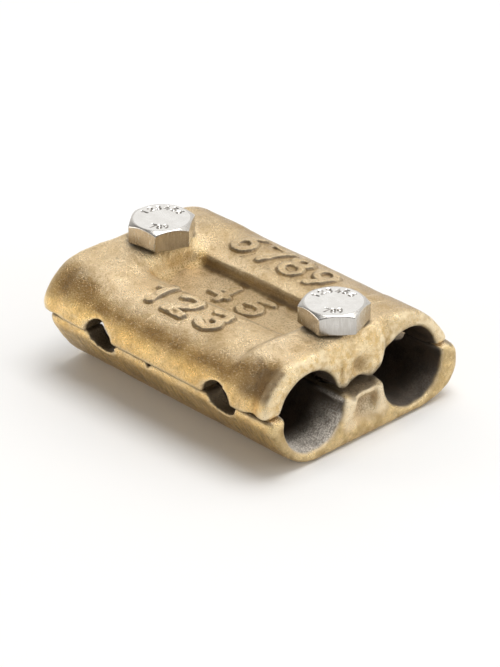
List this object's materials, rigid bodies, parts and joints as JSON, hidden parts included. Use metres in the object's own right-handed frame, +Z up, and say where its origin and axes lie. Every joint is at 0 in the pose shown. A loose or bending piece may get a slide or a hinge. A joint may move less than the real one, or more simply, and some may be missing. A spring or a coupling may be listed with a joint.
{
  "type": "parallel groove clamp",
  "caption": "Cast bronze parallel groove clamp: upper and lower jaws with side-by-side conductor grooves, drawn together by hex-head bolts through the middle.",
  "frame": {"origin": "on the flat underside of the lower jaw, midway between the two bolt axes", "axes": "+X along the conductor grooves, +Y across them, +Z up along the bolt axes towards the heads"},
  "size_m": [0.0907, 0.0717, 0.037],
  "materials": {
    "bronze_lower": "sand-cast bronze",
    "bronze_upper": "sand-cast bronze, tumbled",
    "steel_bolt": "plain stainless steel"
  },
  "bodies": {
    "lower": {"lower_jaw": "bronze_lower"},
    "upper": {"upper_jaw": "bronze_upper"},
    "bolt_left": {"bolt_1": "steel_bolt"},
    "bolt_right": {"bolt_2": "steel_bolt"}
  },
  "joints": [
    {"name": "jaw_lift", "type": "slide", "parent": "lower", "child": "upper", "axis": [0, 0, 1], "range_m": [0, 0.01]},
    {"name": "bolt_left_turn", "type": "hinge", "parent": "upper", "child": "bolt_left", "pos_m": [-0.0336, 0, 0.0306], "axis": [0, 0, 1], "range_deg": [0, 2400]},
    {"name": "bolt_right_turn", "type": "hinge", "parent": "upper", "child": "bolt_right", "pos_m": [0.0336, 0, 0.0306], "axis": [0, 0, 1], "range_deg": [0, 2400]}
  ],
  "couplings": [
    {"joint": "bolt_left_turn", "follows": "jaw_lift", "rad_per_m": 4188.8},
    {"joint": "bolt_right_turn", "follows": "jaw_lift", "rad_per_m": 4188.8}
  ]
}
